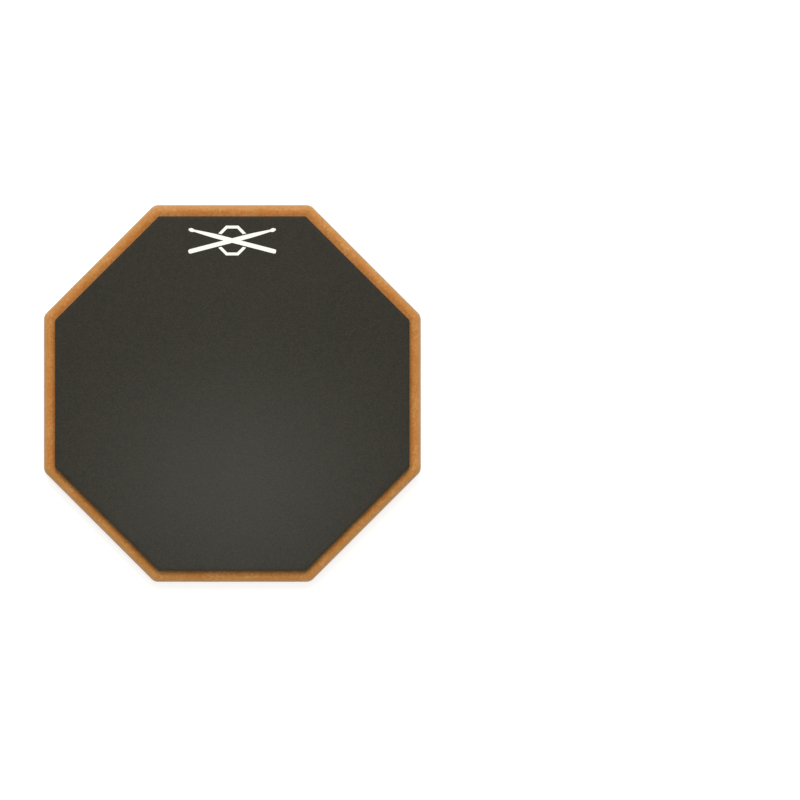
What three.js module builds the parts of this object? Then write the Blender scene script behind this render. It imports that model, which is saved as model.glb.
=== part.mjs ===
// A two-sided octagonal drummer's practice pad: a fibreboard core with a sheet of rubber glued to each
// broad face. Millimetres, +Z up. The pad lies flat: the origin is the centre of the rear sheet's lower
// face, and the striking face looks up. Two of the octagon's flats face along X and two along Y.

import * as THREE from 'three';

// Driving dimensions. The thicknesses are multiples of 0.25 mm, so that a sheet and the one that
// it lies on meet in exactly the same plane.
const BOARD_ACROSS_FLATS = 304.8;
const BOARD_THICKNESS = 19;
const BOARD_CORNER_RADIUS = 8;
const BOARD_EDGE_ROUND = 4.75;

const BORDER = 9.25; // the width of board that shows all round each rubber sheet
const RUBBER_CORNER_RADIUS = 2;
const FRONT_RUBBER_THICKNESS = 6.25;
const REAR_RUBBER_THICKNESS = 4.75;

const ADHESIVE_THICKNESS = 0.25;
const ADHESIVE_SETBACK = 1.5; // the film stops this far short of the rubber's edge

const SIDES = 8;
const CORNER_STEPS = 4;
const ROUND_STEPS = 5;

const RUBBER_ACROSS_FLATS = BOARD_ACROSS_FLATS - 2 * BORDER;
const ADHESIVE_ACROSS_FLATS = RUBBER_ACROSS_FLATS - 2 * ADHESIVE_SETBACK;

// The plan outline: a regular octagon with its corners rounded by arcs that meet the flats smoothly.
function octagon(acrossFlats, cornerRadius) {
  const halfTurn = Math.PI / SIDES;
  const centreDistance = (acrossFlats / 2 - cornerRadius) / Math.cos(halfTurn);
  const outline = new THREE.Shape();
  for (let corner = 0; corner < SIDES; corner += 1) {
    const direction = (2 * corner + 1) * halfTurn;
    const x = centreDistance * Math.cos(direction);
    const y = centreDistance * Math.sin(direction);
    outline.absarc(x, y, cornerRadius, direction - halfTurn, direction + halfTurn);
  }
  outline.closePath();
  return outline;
}

// A flat sheet with square edges.
function sheet(acrossFlats, cornerRadius, thickness) {
  return new THREE.ExtrudeGeometry(octagon(acrossFlats, cornerRadius), {
    depth: thickness,
    curveSegments: CORNER_STEPS,
    bevelEnabled: false,
  });
}

// The core: its upper and lower edges are rounded over, and a flat band is left between them.
function roundedBoard() {
  const board = new THREE.ExtrudeGeometry(octagon(BOARD_ACROSS_FLATS, BOARD_CORNER_RADIUS), {
    depth: BOARD_THICKNESS - 2 * BOARD_EDGE_ROUND,
    curveSegments: CORNER_STEPS,
    bevelEnabled: true,
    bevelThickness: BOARD_EDGE_ROUND,
    bevelSize: BOARD_EDGE_ROUND,
    bevelOffset: -BOARD_EDGE_ROUND,
    bevelSegments: ROUND_STEPS,
  });
  board.translate(0, 0, BOARD_EDGE_ROUND);
  return board;
}

function rubber(colour) {
  return new THREE.MeshStandardMaterial({ color: colour, roughness: 0.75, metalness: 0 });
}

function lacqueredFibreboard() {
  return new THREE.MeshStandardMaterial({ color: 0xc0874f, roughness: 0.45, metalness: 0 });
}

function contactAdhesive() {
  return new THREE.MeshStandardMaterial({ color: 0xb59a62, roughness: 0.5, metalness: 0 });
}

const frontRubberSheet = sheet(RUBBER_ACROSS_FLATS, RUBBER_CORNER_RADIUS, FRONT_RUBBER_THICKNESS);
const rearRubberSheet = sheet(RUBBER_ACROSS_FLATS, RUBBER_CORNER_RADIUS, REAR_RUBBER_THICKNESS);
const adhesiveFilm = sheet(ADHESIVE_ACROSS_FLATS, RUBBER_CORNER_RADIUS, ADHESIVE_THICKNESS);

// The layers from the bottom up.
const layers = [
  ['rear_rubber', rearRubberSheet, rubber(0x2b2b2a), REAR_RUBBER_THICKNESS],
  ['rear_adhesive', adhesiveFilm, contactAdhesive(), ADHESIVE_THICKNESS],
  ['core_board', roundedBoard(), lacqueredFibreboard(), BOARD_THICKNESS],
  ['front_adhesive', adhesiveFilm, contactAdhesive(), ADHESIVE_THICKNESS],
  ['front_rubber', frontRubberSheet, rubber(0x403e38), FRONT_RUBBER_THICKNESS],
];

const practicePad = new THREE.Group();
let height = 0;
for (const [name, geometry, material, thickness] of layers) {
  const layer = new THREE.Mesh(geometry, material);
  layer.name = name;
  layer.position.z = height;
  practicePad.add(layer);
  height += thickness;
}

export default practicePad;
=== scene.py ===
"""The looks of a two-sided octagonal practice pad: a lacquered fibreboard core with a rubber sheet glued to
each face and a white pictogram printed on the front sheet. Metres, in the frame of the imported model."""

import math

import bmesh
import bpy
from mathutils import Matrix, Vector, noise


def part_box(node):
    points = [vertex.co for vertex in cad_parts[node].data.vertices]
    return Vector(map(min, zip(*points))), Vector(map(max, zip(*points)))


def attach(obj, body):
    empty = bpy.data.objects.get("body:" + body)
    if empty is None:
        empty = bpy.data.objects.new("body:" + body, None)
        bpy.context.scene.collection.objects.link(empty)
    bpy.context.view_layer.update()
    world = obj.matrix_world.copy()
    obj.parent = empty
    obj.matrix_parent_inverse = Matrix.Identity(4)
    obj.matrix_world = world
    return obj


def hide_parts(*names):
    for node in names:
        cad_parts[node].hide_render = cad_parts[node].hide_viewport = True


MM = 0.001

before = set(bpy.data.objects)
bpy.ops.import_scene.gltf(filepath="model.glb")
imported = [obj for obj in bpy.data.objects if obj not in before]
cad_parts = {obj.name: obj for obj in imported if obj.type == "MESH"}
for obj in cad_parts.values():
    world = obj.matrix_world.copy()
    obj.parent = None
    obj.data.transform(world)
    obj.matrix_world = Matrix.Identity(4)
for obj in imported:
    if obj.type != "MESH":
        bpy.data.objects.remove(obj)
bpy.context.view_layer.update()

# The layers' places, from the frame.
BOARD_LOW, BOARD_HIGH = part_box("core_board")
FRONT_LOW, FRONT_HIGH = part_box("front_rubber")
REAR_LOW, REAR_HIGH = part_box("rear_rubber")
BOARD_APOTHEM = BOARD_HIGH.x
RUBBER_APOTHEM = FRONT_HIGH.x

# The octagon, and into how many steps its lines and arcs are cut.
SIDES = 8
FLAT_STEPS = 40
CORNER_STEPS = 10
BOARD_ROUND_STEPS = 14
BOARD_SIDE_STEPS = 8
CUT_STEPS = 10
RUBBER_ROUND_STEPS = 6

# The board's edges, as the CAD has them, and the waviness that sanding left on them.
BOARD_CORNER = 8 * MM
BOARD_ROUND = 4.75 * MM
SANDING_DEPTH = 0.05 * MM
SANDING_LENGTH = 16 * MM

# The rubber sheets' edges.
RUBBER_CORNER = 2 * MM
FRONT_EDGE_ROUND = 0.55 * MM
REAR_EDGE_ROUND = 0.4 * MM
CUT_FLARE = 0.06 * MM

# The rings across the rubber's playing faces.
SMALLEST_RING = 2 * MM
FRONT_RING_SPACING = 2.5 * MM
REAR_RING_SPACING = 4 * MM

# The films of adhesive.
FILM_SETBACK = 1.3 * MM
FILM_BULGE = 0.08 * MM

# Seeds, so that no two faces or edges wander alike.
FRONT_SWELL_SEED = 3.1
FRONT_RIPPLE_SEED = 7.7
REAR_SWELL_SEED = 5.3
FRONT_CUT_SEED = 1.7
REAR_CUT_SEED = 4.9
FRONT_FILM_SEED = 2.2
REAR_FILM_SEED = 6.4

# Where a pale patch is painted on the front sheet's near half, as part of the overhead light's sheen. The
# spot is wider than deep.
SHEEN_SPOT = (0, -80 * MM, FRONT_HIGH.z)
SHEEN_SPOT_STRETCH = (1.43, 1, 1)

# The printed pictogram: two crossed sticks over an octagonal ring.
INK = 0.07 * MM
INK_CELL = 2.5 * MM
MARK_Y = 123.5 * MM
STICK_LENGTH = 73 * MM
STICK_WIDTH = 3.5 * MM
STICK_TILT = math.radians(14.5)
RING_ACROSS = 24 * MM
RING_LINE = 2.3 * MM
RING_GAP = 1.0 * MM

# A stick's parts, as shares of its length from the butt.
BUTT_END = 0.02
TAPER_START = 0.68
TIP_START = 0.925

# The camera looks straight down from far away, and the pad lies left of the picture's middle.
PICTURE_WIDTH = 0.647
PAD_IN_PICTURE = Vector((-0.1355, 0.0053))
LENS = 600.0
SENSOR = 36.0

# The light: boxes with their distance, angle above the floor in degrees, power and tone, and the surround.
FAR_BOX_DISTANCE = 2.6
FAR_BOX_SIZE = (1.4, 1.4)
FAR_BOXES = (("low_far_box", 45, 24), ("high_far_box", 65, 35))
FAR_BOX_TONE = (1, 0.89, 0.79)
OVERHEAD_PLACE = Vector((0, -0.08, 0.35))
OVERHEAD_SIZE = (0.12, 0.12)
OVERHEAD_POWER = 0.17
OVERHEAD_TONE = (0.9, 1, 1)
SURROUND = 0.45
SURROUND_TONE = (0.9, 1, 0.96, 1)
FLOOR_REACH = 40


# ---------------------------------------------------------------- shapes


def octagon(apothem, corner):
    """Points round a regular octagon whose corners are arcs, anticlockwise from the +X flat's lower end."""
    half = math.pi / SIDES
    reach = (apothem - corner) / math.cos(half)
    flat = (apothem - corner) * math.tan(half)
    points = []
    for side in range(SIDES):
        turn = Matrix.Rotation(2 * half * side, 2)
        for step in range(FLAT_STEPS):
            along = -flat + 2 * flat * step / FLAT_STEPS
            points.append(turn @ Vector((apothem, along)))
        centre = turn @ Vector((reach * math.cos(half), reach * math.sin(half)))
        for step in range(CORNER_STEPS):
            angle = 2 * half * side + 2 * half * step / CORNER_STEPS
            points.append(centre + corner * Vector((math.cos(angle), math.sin(angle))))
    return points


def arc_profile(radius, start, end, steps):
    """The points of an arc about the origin, from angle start to end in degrees."""
    angles = [math.radians(start + (end - start) * i / steps) for i in range(steps + 1)]
    return [(radius * math.cos(a), radius * math.sin(a)) for a in angles]


def plate(name, profile, shift):
    """A closed plate from octagonal rings. The profile lists (apothem, corner radius, z) from the middle of
    the lower face round to the middle of the upper one, and shift(point) gives each point its last place."""
    mesh = bmesh.new()
    rings = []
    for apothem, corner, z in profile:
        ring = [mesh.verts.new(shift(Vector((p.x, p.y, z)))) for p in octagon(apothem, corner)]
        rings.append(ring)
    count = len(rings[0])
    for low, high in zip(rings, rings[1:]):
        for i in range(count):
            j = (i + 1) % count
            mesh.faces.new((low[i], low[j], high[j], high[i]))
    for ring, z, flip in ((rings[0], profile[0][2], True), (rings[-1], profile[-1][2], False)):
        hub = mesh.verts.new(shift(Vector((0, 0, z))))
        for i in range(count):
            j = (i + 1) % count
            mesh.faces.new((ring[j], ring[i], hub) if flip else (ring[i], ring[j], hub))
    mesh.normal_update()
    return as_object(name, mesh)


def as_object(name, mesh):
    """An object from a mesh, smooth but for its sharp edges."""
    data = bpy.data.meshes.new(name)
    mesh.to_mesh(data)
    mesh.free()
    data.shade_smooth()
    data.set_sharp_from_angle(angle=math.radians(35))
    piece = bpy.data.objects.new(name, data)
    bpy.context.scene.collection.objects.link(piece)
    return piece


def face_rings(apothem, corner, z, spacing):
    """Rings across a flat face, from its middle outwards, up to and not including the outermost."""
    steps = round((apothem - SMALLEST_RING) / spacing)
    sizes = [SMALLEST_RING + (apothem - SMALLEST_RING) * i / steps for i in range(steps)]
    return [(size, corner * size / apothem, z) for size in sizes]


def wave(x, y, length, seed):
    """A smooth random height from -1 to 1 with bumps about length across."""
    return noise.noise(Vector((x / length, y / length, seed)))


def pushed_out(point, amount):
    """The point, moved away from the Z axis by that much."""
    reach = max(math.hypot(point.x, point.y), MM)
    return point + Vector((point.x, point.y, 0)) / reach * amount


# ---------------------------------------------------------------- pieces


def board_piece():
    """The core: rounded over above and below, with the slight waviness of sanding on its edges."""
    low, high = BOARD_LOW.z, BOARD_HIGH.z
    inner = BOARD_APOTHEM - BOARD_ROUND
    inner_corner = BOARD_CORNER - BOARD_ROUND
    # The rings across a face lie a millimetre apart near its edge.
    face = [20 * MM, 90 * MM] + [inner - i * MM for i in range(9, 0, -1)]
    profile = [(size, inner_corner, low) for size in face]
    for out, up in arc_profile(BOARD_ROUND, -90, 0, BOARD_ROUND_STEPS):
        profile.append((inner + out, inner_corner + out, low + BOARD_ROUND + up))
    band = high - low - 2 * BOARD_ROUND
    for i in range(1, BOARD_SIDE_STEPS):
        profile.append((BOARD_APOTHEM, BOARD_CORNER, low + BOARD_ROUND + band * i / BOARD_SIDE_STEPS))
    for out, up in arc_profile(BOARD_ROUND, 0, 90, BOARD_ROUND_STEPS):
        profile.append((inner + out, inner_corner + out, high - BOARD_ROUND + up))
    profile += [(size, inner_corner, high) for size in reversed(face)]

    def sanded(point):
        if math.hypot(point.x, point.y) < RUBBER_APOTHEM:
            return point
        # The seed drifts with height, so that the waves change from the lower edge to the upper one.
        height = wave(point.x, point.y, SANDING_LENGTH, point.z * 60)
        return pushed_out(point, SANDING_DEPTH * (height - 1))

    return plate("board", profile, sanded)


def front_surface(x, y):
    """The height of the front sheet's playing face, which is not perfectly flat."""
    swell = wave(x, y, 70 * MM, FRONT_SWELL_SEED) - 1
    ripple = wave(x, y, 18 * MM, FRONT_RIPPLE_SEED) - 1
    return FRONT_HIGH.z + 0.03 * MM * swell + 0.008 * MM * ripple


def rear_surface(x, y):
    """The height of the rear sheet's playing face, seen from above."""
    return REAR_LOW.z + 0.01 * MM * (wave(x, y, 50 * MM, REAR_SWELL_SEED) + 1)


def cut_edge(low, high, edge_round):
    """A sheet's side from its lower edge to its upper one: flared a little at the foot by the knife, faintly
    hollow halfway up, and softly rounded at the top. It lists (apothem, corner radius, z)."""
    sides = []
    straight = high - edge_round - low
    inset = RUBBER_APOTHEM - CUT_FLARE
    for i in range(CUT_STEPS + 1):
        share = i / CUT_STEPS
        hollow = CUT_FLARE * (0.5 + 0.5 * math.cos(math.pi * share) - 1.3 * share * (1 - share))
        sides.append((inset + hollow, RUBBER_CORNER, low + straight * share))
    for out, up in arc_profile(edge_round, 0, 90, RUBBER_ROUND_STEPS)[1:]:
        sides.append((inset - edge_round + out, RUBBER_CORNER, high - edge_round + up))
    return sides


def knife_strayed(point, seed):
    """The point, moved as the knife strayed from the octagon: a slow drift and a finer tremble, which fade
    out inside the sheet."""
    fade_start = 0.9 * RUBBER_APOTHEM
    reach = math.hypot(point.x, point.y)
    share = min(1, max(0, (reach - fade_start) / (RUBBER_APOTHEM - fade_start)))
    drift = 0.10 * MM * wave(point.x, point.y, 45 * MM, seed)
    tremble = 0.03 * MM * wave(point.x, point.y, 5 * MM, seed + 9)
    return pushed_out(point, share * (drift + tremble))


def front_rubber_piece():
    """The front sheet, glued down by its lower face."""
    low, high = FRONT_LOW.z, FRONT_HIGH.z
    edge = cut_edge(low, high, FRONT_EDGE_ROUND)
    profile = [(RUBBER_APOTHEM * share, RUBBER_CORNER, low) for share in (0.1, 0.5, 0.9)]
    profile += edge
    profile += reversed(face_rings(edge[-1][0], RUBBER_CORNER, high, FRONT_RING_SPACING))

    def shaped(point):
        place = knife_strayed(point, FRONT_CUT_SEED)
        lift = (point.z - low) / (high - low)
        place.z += lift * (front_surface(point.x, point.y) - high)
        return place

    return plate("front_rubber_sheet", profile, shaped)


def rear_rubber_piece():
    """The same sheet turned over: its playing face is the lower one."""
    low, high = REAR_LOW.z, REAR_HIGH.z
    edge = cut_edge(0, high - low, REAR_EDGE_ROUND)
    edge = [(apothem, corner, high - up) for apothem, corner, up in reversed(edge)]
    profile = face_rings(edge[0][0], RUBBER_CORNER, low, REAR_RING_SPACING)
    profile += edge
    profile += [(RUBBER_APOTHEM * share, RUBBER_CORNER, high) for share in (0.9, 0.5, 0.1)]

    def shaped(point):
        place = knife_strayed(point, REAR_CUT_SEED)
        lift = (high - point.z) / (high - low)
        place.z += lift * (rear_surface(point.x, point.y) - low)
        return place

    return plate("rear_rubber_sheet", profile, shaped)


def adhesive_piece(name, low, high, seed):
    """A film of glue, brushed out by hand: its edge wanders inside the rubber's."""
    middle = (low + high) / 2
    outer = RUBBER_APOTHEM - FILM_SETBACK
    profile = [(outer * share, RUBBER_CORNER, low) for share in (0.1, 0.9, 0.97, 1)]
    profile.append((outer + FILM_BULGE, RUBBER_CORNER, middle))
    profile += [(outer * share, RUBBER_CORNER, high) for share in (1, 0.97, 0.9, 0.1)]

    def brushed(point):
        if math.hypot(point.x, point.y) < 0.98 * outer:
            return point
        drift = 0.7 * MM * wave(point.x, point.y, 14 * MM, seed)
        bristles = 0.3 * MM * wave(point.x, point.y, 3 * MM, seed)
        return pushed_out(point, drift + bristles)

    return plate(name, profile, brushed)


# ---------------------------------------------------------------- the printed mark


def prism(outline, low, high):
    """A closed mesh object over a flat outline, which goes anticlockwise."""
    mesh = bmesh.new()
    bottom = [mesh.verts.new((x, y, low)) for x, y in outline]
    top = [mesh.verts.new((x, y, high)) for x, y in outline]
    mesh.faces.new(reversed(bottom))
    mesh.faces.new(top)
    for i in range(len(outline)):
        j = (i + 1) % len(outline)
        mesh.faces.new((bottom[i], bottom[j], top[j], top[i]))
    return as_object("print_part", mesh)


def stick_half_width(share):
    """Half a drumstick's width at a share of its length from the butt: shaft, taper, neck and olive tip."""
    shaft = STICK_WIDTH / 2
    neck = 0.5 * shaft
    tip = 0.84 * shaft
    if share < BUTT_END:
        return shaft * math.sqrt(1 - (1 - share / BUTT_END) ** 2 * 0.75)
    if share < TAPER_START:
        return shaft
    if share < TIP_START:
        fall = (share - TAPER_START) / (TIP_START - TAPER_START)
        return shaft + (neck - shaft) * fall**1.3
    along_tip = (share - TIP_START) / (1 - TIP_START)
    return max(neck * (1 - along_tip), tip * math.sin(math.pi * along_tip) ** 0.6)


def stick_shares():
    """Where a stick's outline has points, as shares of its length, closest at the butt and the tip."""
    shares = [0, 0.2 * BUTT_END, 0.5 * BUTT_END, BUTT_END]
    for start, end, steps in ((BUTT_END, TAPER_START, 8), (TAPER_START, TIP_START, 12), (TIP_START, 1, 16)):
        shares += [start + (end - start) * i / steps for i in range(1, steps + 1)]
    return shares


def stick_outline(side, grow):
    """A stick's outline, tilted and mirrored to one side. Grow makes it fatter all round."""
    length = STICK_LENGTH + 2 * grow
    upper = []
    lower = []
    for share in stick_shares():
        along = (share - 0.5) * length
        half = stick_half_width(share) + grow
        upper.append((along, half))
        lower.append((along, -half))
    placed = []
    for x, y in lower + upper[::-1]:
        turned_x = side * (x * math.cos(STICK_TILT) - y * math.sin(STICK_TILT))
        turned_y = x * math.sin(STICK_TILT) + y * math.cos(STICK_TILT)
        placed.append((turned_x, MARK_Y + turned_y))
    return placed if side > 0 else placed[::-1]


def ring_outline(across):
    """One of the ring's two octagons."""
    reach = across / 2 / math.cos(math.pi / SIDES)
    angles = [(2 * i + 1) * math.pi / SIDES for i in range(SIDES)]
    return [(reach * math.cos(a), MARK_Y + reach * math.sin(a)) for a in angles]


def middle_band():
    """The strip between the sticks, where no ring is left."""
    reach = RING_ACROSS
    half = RING_ACROSS / 2 * math.sin(STICK_TILT)
    return [(-reach, MARK_Y - half), (reach, MARK_Y - half), (reach, MARK_Y + half), (-reach, MARK_Y + half)]


def combine(base, other, operation):
    """Applies a boolean to base and removes the other object."""
    modifier = base.modifiers.new("combine", "BOOLEAN")
    modifier.operation = operation
    modifier.solver = "EXACT"
    modifier.object = other
    bpy.context.view_layer.update()
    evaluated = base.evaluated_get(bpy.context.evaluated_depsgraph_get())
    result = bpy.data.meshes.new_from_object(evaluated)
    base.modifiers.clear()
    base.data = result
    bpy.data.objects.remove(other)


def cut_away(base, outline):
    """Cuts an outline's whole column out of a piece of ink."""
    combine(base, prism(outline, -MM, INK + MM), "DIFFERENCE")


def cut_into_cells(mesh):
    """Cuts the mesh along a square grid, so that it can follow the surface under it."""
    xs = [v.co.x for v in mesh.verts]
    ys = [v.co.y for v in mesh.verts]
    for axis, places in ((Vector((1, 0, 0)), xs), (Vector((0, 1, 0)), ys)):
        low, high = min(places), max(places)
        for step in range(1, math.ceil((high - low) / INK_CELL)):
            place = axis * (low + step * INK_CELL)
            parts = mesh.verts[:] + mesh.edges[:] + mesh.faces[:]
            bmesh.ops.bisect_plane(mesh, geom=parts, plane_co=place, plane_no=axis, dist=1e-7)


def printed_mark():
    """White ink: an octagonal ring that breaks off round two crossed drumsticks."""
    mark = prism(ring_outline(RING_ACROSS), 0, INK)
    cut_away(mark, ring_outline(RING_ACROSS - 2 * RING_LINE))
    for side in (-1, 1):
        cut_away(mark, stick_outline(side, RING_GAP))
    cut_away(mark, middle_band())
    for side in (-1, 1):
        combine(mark, prism(stick_outline(side, 0), 0, INK), "UNION")
    mesh = bmesh.new()
    mesh.from_mesh(mark.data)
    bpy.data.objects.remove(mark)
    cut_into_cells(mesh)
    for vert in mesh.verts:
        vert.co.z += front_surface(vert.co.x, vert.co.y)
    return as_object("printed_mark", mesh)


# ---------------------------------------------------------------- the shader's building blocks


def colour(red, green, blue):
    """A linear colour from 0 to 255 screen values."""

    def linear(value):
        share = value / 255
        return share / 12.92 if share <= 0.04045 else ((share + 0.055) / 1.055) ** 2.4

    return (linear(red), linear(green), linear(blue), 1)


class Shader:
    """A principled material whose nodes are added one call at a time, in object space."""

    def __init__(self, name):
        self.material = bpy.data.materials.new(name)
        self.material.use_nodes = True
        self.tree = self.material.node_tree
        self.tree.nodes.clear()
        output = self.tree.nodes.new("ShaderNodeOutputMaterial")
        self.surface = self.tree.nodes.new("ShaderNodeBsdfPrincipled")
        self.tree.links.new(self.surface.outputs["BSDF"], output.inputs["Surface"])
        self.place = self.tree.nodes.new("ShaderNodeTexCoord").outputs["Object"]
        self.normal = self.tree.nodes.new("ShaderNodeNewGeometry").outputs["Normal"]

    def put(self, socket, value):
        """Links a socket, or sets it to a plain value."""
        if isinstance(value, bpy.types.NodeSocket):
            self.tree.links.new(value, socket)
        else:
            socket.default_value = value

    def stretched(self, stretch, turn_degrees=0):
        """Coordinates in which a pattern is that many times as long along each axis of a frame turned about
        Z."""
        mapping = self.tree.nodes.new("ShaderNodeMapping")
        mapping.vector_type = "TEXTURE"
        self.put(mapping.inputs["Vector"], self.place)
        mapping.inputs["Rotation"].default_value = (0, 0, math.radians(turn_degrees))
        mapping.inputs["Scale"].default_value = stretch
        return mapping.outputs["Vector"]

    def noise(self, size, detail, roughness=0.5, place=None):
        """Noise from 0 to 1 with features of about that size, in metres."""
        node = self.tree.nodes.new("ShaderNodeTexNoise")
        self.put(node.inputs["Vector"], place or self.place)
        node.inputs["Scale"].default_value = 1 / size
        node.inputs["Detail"].default_value = detail
        node.inputs["Roughness"].default_value = roughness
        return node.outputs["Fac"]

    def cells(self, size):
        """Irregular cells of about that size: the distance from a cell's middle, and the cell's colour."""
        node = self.tree.nodes.new("ShaderNodeTexVoronoi")
        self.put(node.inputs["Vector"], self.place)
        node.inputs["Scale"].default_value = 1 / size
        return node.outputs["Distance"], node.outputs["Color"]

    def math(self, operation, a, b=0.0):
        """One operation on one or two numbers."""
        node = self.tree.nodes.new("ShaderNodeMath")
        node.operation = operation
        self.put(node.inputs[0], a)
        self.put(node.inputs[1], b)
        return node.outputs[0]

    def span(self, value, low, high, out_low=0.0, out_high=1.0):
        """Maps low..high to out_low..out_high smoothly, and clamps."""
        node = self.tree.nodes.new("ShaderNodeMapRange")
        node.interpolation_type = "SMOOTHSTEP"
        self.put(node.inputs["Value"], value)
        node.inputs["From Min"].default_value = low
        node.inputs["From Max"].default_value = high
        node.inputs["To Min"].default_value = out_low
        node.inputs["To Max"].default_value = out_high
        return node.outputs["Result"]

    def mix(self, share, a, b):
        """Colour a with that share of colour b over it."""
        node = self.tree.nodes.new("ShaderNodeMix")
        node.data_type = "RGBA"
        self.put(node.inputs[0], share)
        self.put(node.inputs[6], a)
        self.put(node.inputs[7], b)
        return node.outputs[2]

    def part(self, vector, axis):
        """One number of a vector or colour."""
        node = self.tree.nodes.new("ShaderNodeSeparateXYZ")
        self.put(node.inputs[0], vector)
        return node.outputs[axis]

    def level(self):
        """1 where the surface lies level, 0 where it is upright."""
        return self.math("ABSOLUTE", self.part(self.normal, 2))

    def distance(self, point, place):
        """How far a place is from a point."""
        node = self.tree.nodes.new("ShaderNodeVectorMath")
        node.operation = "DISTANCE"
        self.put(node.inputs[0], place)
        self.put(node.inputs[1], point)
        return node.outputs["Value"]

    def octagon_reach(self):
        """How far a point lies from the Z axis, measured across the flats of an octagon."""
        along_x = self.math("ABSOLUTE", self.part(self.place, 0))
        along_y = self.math("ABSOLUTE", self.part(self.place, 1))
        diagonal = self.math("MULTIPLY", self.math("ADD", along_x, along_y), math.sqrt(0.5))
        return self.math("MAXIMUM", diagonal, self.math("MAXIMUM", along_x, along_y))

    def bump(self, height, distance, strength, under=None):
        """A normal that shows the height as relief, over another such normal."""
        node = self.tree.nodes.new("ShaderNodeBump")
        self.put(node.inputs["Strength"], strength)
        node.inputs["Distance"].default_value = distance
        self.put(node.inputs["Height"], height)
        if under:
            self.put(node.inputs["Normal"], under)
        return node.outputs["Normal"]

    def finish(self, **values):
        """Sets the principled shader's inputs by name, with underscores for spaces, and returns the
        material."""
        for name, value in values.items():
            self.put(self.surface.inputs[name.replace("_", " ")], value)
        return self.material


# ---------------------------------------------------------------- fibreboard


def wood_fibres(s):
    """1 on fine fibres that lie every way in the board's plane."""
    fibres = 0
    for turn in (8, 44, 80, 116, 152):
        strands = s.noise(0.3 * MM, detail=2, roughness=0.6, place=s.stretched((1, 5, 0.6), turn))
        fibres = s.math("ADD", fibres, s.span(strands, 0.6, 0.72))
    return s.math("MINIMUM", fibres, 1.0)


def wood_colour(s, mottle, fibres):
    """The board's colour: soft clouds and mottling, ruddy patches, pale fibres and dark specks."""
    wood = colour(181, 121, 57)
    pale_wood = colour(198, 142, 82)
    brown_wood = colour(163, 101, 41)
    ruddy_wood = colour(196, 112, 46)
    fibre = colour(222, 168, 100)
    speck = colour(112, 61, 22)
    clouds = s.noise(15 * MM, detail=3, roughness=0.55)
    ruddy = s.noise(4.5 * MM, detail=3, roughness=0.6)
    specks = s.noise(0.7 * MM, detail=2, roughness=0.7, place=s.stretched((1, 1, 0.5)))
    base = s.mix(s.span(clouds, 0.3, 0.7), wood, pale_wood)
    base = s.mix(s.span(mottle, 0.35, 0.65, 0, 0.7), base, brown_wood)
    base = s.mix(s.span(ruddy, 0.42, 0.66, 0, 0.4), base, ruddy_wood)
    base = s.mix(s.math("MULTIPLY", fibres, 0.36), base, fibre)
    return s.mix(s.span(specks, 0.64, 0.74, 0, 0.5), base, speck)


def lacquer_with_painted_shade_and_sheen(s, base, level):
    """The lacquer's tone, with painted shade where the wood meets the sheet, and paler over the rounded
    edges, partly from thinner lacquer and partly as a painted sheen.
    """
    painted_shade = colour(126, 72, 18)
    thin_lacquer_and_sheen = colour(172, 137, 92)
    # Painted shade: the wood darkens towards the foot of the sheet, where the sheet shades it.
    shade_near_sheet = s.span(s.octagon_reach(), RUBBER_APOTHEM + 6 * MM, RUBBER_APOTHEM, 0, 0.3)
    base = s.mix(shade_near_sheet, base, painted_shade)
    # Partly thinner lacquer and partly painted sheen: paler where the surface tilts over the rounded edges.
    return s.mix(s.span(level, 0.999, 0.9, 0, 0.36), base, thin_lacquer_and_sheen)


def opened_layers(s, side):
    """Streaks along the board's sides, where the cutter opened its looser middle."""
    middle = (BOARD_LOW.z + BOARD_HIGH.z) / 2
    off_middle = s.math("ABSOLUTE", s.math("SUBTRACT", s.part(s.place, 2), middle))
    loose = s.math("MULTIPLY", side, s.span(off_middle, 7 * MM, 1 * MM))
    layers = s.noise(0.55 * MM, detail=4, roughness=0.65, place=s.stretched((11, 11, 1)))
    return s.math("MULTIPLY", loose, s.span(layers, 0.36, 0.64, 0.2, 0.85))


def fibreboard_material():
    """Amber-lacquered fibreboard, glossier over its rounded edges than on its faces."""
    s = Shader("lacquered_fibreboard")
    layer = colour(152, 93, 41)
    mottle = s.noise(2.2 * MM, detail=4, roughness=0.62, place=s.stretched((1, 1, 0.55)))
    fibres = wood_fibres(s)
    level = s.level()
    side = s.span(level, 0.85, 0.1)
    streaks = opened_layers(s, side)
    base = lacquer_with_painted_shade_and_sheen(s, wood_colour(s, mottle, fibres), level)
    height = s.math("ADD", s.math("MULTIPLY", fibres, 0.5), s.noise(0.5 * MM, detail=3))
    height = s.math("ADD", height, s.math("MULTIPLY", streaks, 0.8))
    fine = s.bump(height, 0.03 * MM, s.span(side, 0, 1, 0.35, 0.9))
    return s.finish(
        Base_Color=s.mix(streaks, base, layer),
        Roughness=s.span(mottle, 0.3, 0.7, 0.42, 0.56),
        Specular_IOR_Level=0.12,
        Coat_Weight=s.span(level, 0.93, 0.75, 0.03, 0.6),
        Coat_Roughness=0.35,
        Normal=s.bump(s.noise(2.6 * MM, detail=2), 0.05 * MM, 0.5, under=fine),
    )


# ---------------------------------------------------------------- rubber


def knife_strokes(s):
    """The share of cut side in the surface, and the long strokes that the knife left along it."""
    side = s.span(s.level(), 0.8, 0.2)
    strokes = s.noise(0.5 * MM, detail=3, roughness=0.6, place=s.stretched((20, 20, 1)))
    return side, strokes


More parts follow.
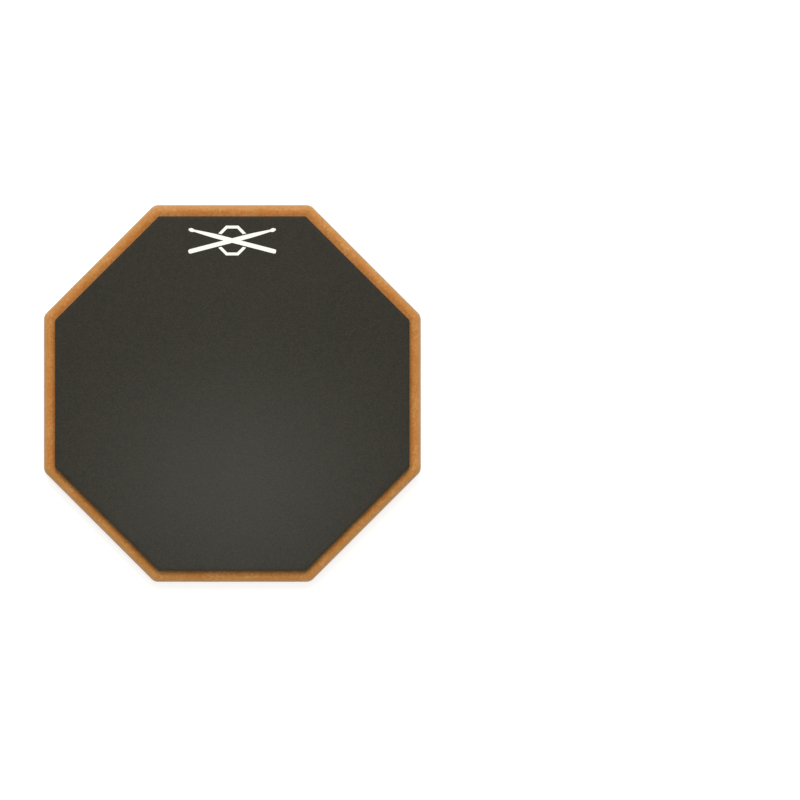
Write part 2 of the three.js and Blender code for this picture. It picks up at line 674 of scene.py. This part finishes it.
def gum_rubber_colour(s, mottle, grain):
    """A warm dark grey with faint clouds and patches and an even grain, and a painted sheen that makes the
    near half paler.
    """
    gum = colour(28, 27, 25)
    pale_gum = colour(34, 32, 30)
    cool_patch = colour(26, 29, 24)
    warm_mottle = colour(43, 39, 30)
    pale_grain = colour(60, 56, 46)
    painted_sheen = colour(93, 89, 85)
    dust = colour(96, 92, 82)
    clouds = s.noise(60 * MM, detail=2)
    patches = s.noise(9 * MM, detail=4, roughness=0.65, place=s.stretched((1.3, 1, 1), 40))
    sheen_spot_distance = s.distance(SHEEN_SPOT, s.stretched(SHEEN_SPOT_STRETCH))
    motes = s.noise(0.55 * MM, detail=1)
    base = s.mix(s.span(clouds, 0.3, 0.7), gum, pale_gum)
    base = s.mix(s.span(patches, 0.35, 0.65, 0, 0.75), base, cool_patch)
    base = s.mix(s.span(mottle, 0.3, 0.7, 0, 0.6), base, warm_mottle)
    base = s.mix(s.span(grain, 0.38, 0.72, 0, 0.5), base, pale_grain)
    # Painted sheen: a pale patch on the near half, palest at its middle.
    base = s.mix(s.span(sheen_spot_distance, 150 * MM, 10 * MM, 0, 0.12), base, painted_sheen)
    return s.mix(s.span(motes, 0.72, 0.8, 0, 0.35), base, dust)


def front_rubber_material():
    """Gum rubber with an even grain, a dry, slightly dusty skin and knife-cut sides."""
    s = Shader("gum_rubber")
    cut_rubber = colour(62, 59, 52)
    mottle = s.noise(3.2 * MM, detail=4, roughness=0.65)
    grain = s.noise(1.1 * MM, detail=4, roughness=0.7)
    side, strokes = knife_strokes(s)
    pits = s.cells(0.75 * MM)[0]
    cut = s.math("MULTIPLY", side, s.span(strokes, 0.4, 0.65, 0.1, 0.5))
    skin = s.bump(s.math("ADD", grain, s.math("MULTIPLY", pits, 0.6)), 0.06 * MM, 0.7)
    return s.finish(
        Base_Color=s.mix(cut, gum_rubber_colour(s, mottle, grain), cut_rubber),
        Roughness=s.span(mottle, 0.3, 0.7, 0.38, 0.46),
        Specular_IOR_Level=0.16,
        Normal=s.bump(s.math("MULTIPLY", side, strokes), 0.12 * MM, 0.7, under=skin),
    )


def rear_rubber_material():
    """The harder rear sheet: black pressed crumb with a few grey flecks."""
    s = Shader("crumb_rubber")
    crumb = colour(34, 34, 33)
    pale_crumb = colour(50, 49, 47)
    fleck = colour(104, 104, 100)
    binder = colour(26, 26, 25)
    crumbs, crumb_colour = s.cells(1.3 * MM)
    grain = s.noise(0.6 * MM, detail=4, roughness=0.6)
    side, strokes = knife_strokes(s)
    base = s.mix(s.span(s.part(crumb_colour, 0), 0, 1), crumb, pale_crumb)
    base = s.mix(s.span(s.part(crumb_colour, 1), 0.955, 0.97, 0, 0.45), base, fleck)
    skin = s.bump(s.math("ADD", s.math("MULTIPLY", crumbs, 1.2), grain), 0.05 * MM, 0.6)
    return s.finish(
        Base_Color=s.mix(s.span(grain, 0.4, 0.7, 0, 0.4), base, binder),
        Roughness=s.span(grain, 0.3, 0.7, 0.55, 0.7),
        Specular_IOR_Level=0.35,
        Normal=s.bump(s.math("MULTIPLY", side, strokes), 0.12 * MM, 0.7, under=skin),
    )


# ---------------------------------------------------------------- adhesive, ink and floor


def adhesive_material():
    """Dried contact adhesive: amber, a little glossy, streaked by the brush."""
    s = Shader("contact_adhesive")
    thick = colour(150, 118, 66)
    thin = colour(192, 160, 104)
    streaks = s.noise(1.5 * MM, detail=3, roughness=0.6, place=s.stretched((1, 5, 1), 25))
    return s.finish(
        Base_Color=s.mix(s.span(streaks, 0.3, 0.7), thick, thin),
        Roughness=s.span(streaks, 0.3, 0.7, 0.35, 0.55),
        Normal=s.bump(streaks, 0.05 * MM, 0.5),
    )


def ink_material():
    """White screen ink: matt, a shade thinner in places, taking on the grain of the rubber under it."""
    s = Shader("white_ink")
    thin_ink = colour(238, 238, 236)
    full_ink = colour(246, 246, 245)
    bare_rubber = colour(150, 149, 145)
    cover = s.noise(1.6 * MM, detail=3, roughness=0.6)
    pinholes = s.noise(0.45 * MM, detail=1)
    grain = s.noise(0.8 * MM, detail=4, roughness=0.65)
    base = s.mix(s.span(cover, 0.3, 0.7), thin_ink, full_ink)
    return s.finish(
        Base_Color=s.mix(s.span(pinholes, 0.74, 0.8, 0, 0.5), base, bare_rubber),
        Roughness=0.6,
        Specular_IOR_Level=0.3,
        Normal=s.bump(grain, 0.03 * MM, 0.5),
    )


def floor_material():
    """A light table: white, matt and faintly glowing, so that the pad's shadow on it stays pale."""
    s = Shader("light_table")
    return s.finish(
        Base_Color=(0.48, 0.48, 0.48, 1),
        Roughness=0.9,
        Specular_IOR_Level=0.0,
        Emission_Color=(1, 1, 1, 1),
        Emission_Strength=0.74,
    )


# ---------------------------------------------------------------- stage


def floor():
    """A plain floor that fills every view."""
    mesh = bmesh.new()
    low, high = -FLOOR_REACH, FLOOR_REACH
    corners = ((low, low), (high, low), (high, high), (low, high))
    mesh.faces.new([mesh.verts.new((x, y, 0)) for x, y in corners])
    piece = as_object("floor", mesh)
    piece.data.materials.append(floor_material())


def softbox(name, place, aim, size, power, tone):
    """A rectangular light, unseen by the camera."""
    light = bpy.data.lights.new(name, "AREA")
    light.shape = "RECTANGLE"
    light.size, light.size_y = size
    light.energy = power
    light.color = tone
    lamp = bpy.data.objects.new(name, light)
    lamp.location = place
    lamp.rotation_mode = "QUATERNION"
    lamp.rotation_quaternion = (Vector(aim) - Vector(place)).to_track_quat("-Z", "Y")
    lamp.visible_camera = False
    bpy.context.scene.collection.objects.link(lamp)


def lights():
    """Two large warm softboxes on the far side, one higher than the other, a small one close overhead that
    puts a sheen on the near half of the rubber, and an even, slightly cool surround."""
    for name, height, power in FAR_BOXES:
        angle = math.radians(height)
        place = (0, FAR_BOX_DISTANCE * math.cos(angle), FAR_BOX_DISTANCE * math.sin(angle))
        softbox(name, place, (0, 0, 0), FAR_BOX_SIZE, power, FAR_BOX_TONE)
    below = (OVERHEAD_PLACE.x, OVERHEAD_PLACE.y, 0)
    softbox("overhead_box", OVERHEAD_PLACE, below, OVERHEAD_SIZE, OVERHEAD_POWER, OVERHEAD_TONE)
    world = bpy.data.worlds.new("surround")
    world.use_nodes = True
    world.node_tree.nodes["Background"].inputs["Color"].default_value = SURROUND_TONE
    world.node_tree.nodes["Background"].inputs["Strength"].default_value = SURROUND
    bpy.context.scene.world = world


def camera():
    """A long lens far above the pad, looking straight down."""
    data = bpy.data.cameras.new("camera")
    data.lens = LENS
    data.sensor_width = SENSOR
    data.clip_start = 0.1
    data.clip_end = 100
    eye = bpy.data.objects.new("camera", data)
    board_middle = (BOARD_LOW.z + BOARD_HIGH.z) / 2
    distance = PICTURE_WIDTH * LENS / SENSOR
    eye.location = (-PAD_IN_PICTURE.x, -PAD_IN_PICTURE.y, board_middle + distance)
    bpy.context.scene.collection.objects.link(eye)
    bpy.context.scene.camera = eye


# ---------------------------------------------------------------- the scene


def show(piece, material, node=None):
    """Gives a piece its material and its place in the frame's table."""
    piece.data.materials.clear()
    piece.data.materials.append(material)
    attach(piece, "root")
    if node:
        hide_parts(node)


show(board_piece(), fibreboard_material(), "core_board")
glue = adhesive_material()
film = adhesive_piece("front_adhesive_film", BOARD_HIGH.z, FRONT_LOW.z, FRONT_FILM_SEED)
show(film, glue, "front_adhesive")
film = adhesive_piece("rear_adhesive_film", REAR_HIGH.z, BOARD_LOW.z, REAR_FILM_SEED)
show(film, glue, "rear_adhesive")
front = front_rubber_piece()
show(front, front_rubber_material(), "front_rubber")
rear = rear_rubber_piece()
show(rear, rear_rubber_material(), "rear_rubber")
show(printed_mark(), ink_material())

floor()
lights()
camera()
bpy.context.scene.view_settings.view_transform = "Standard"
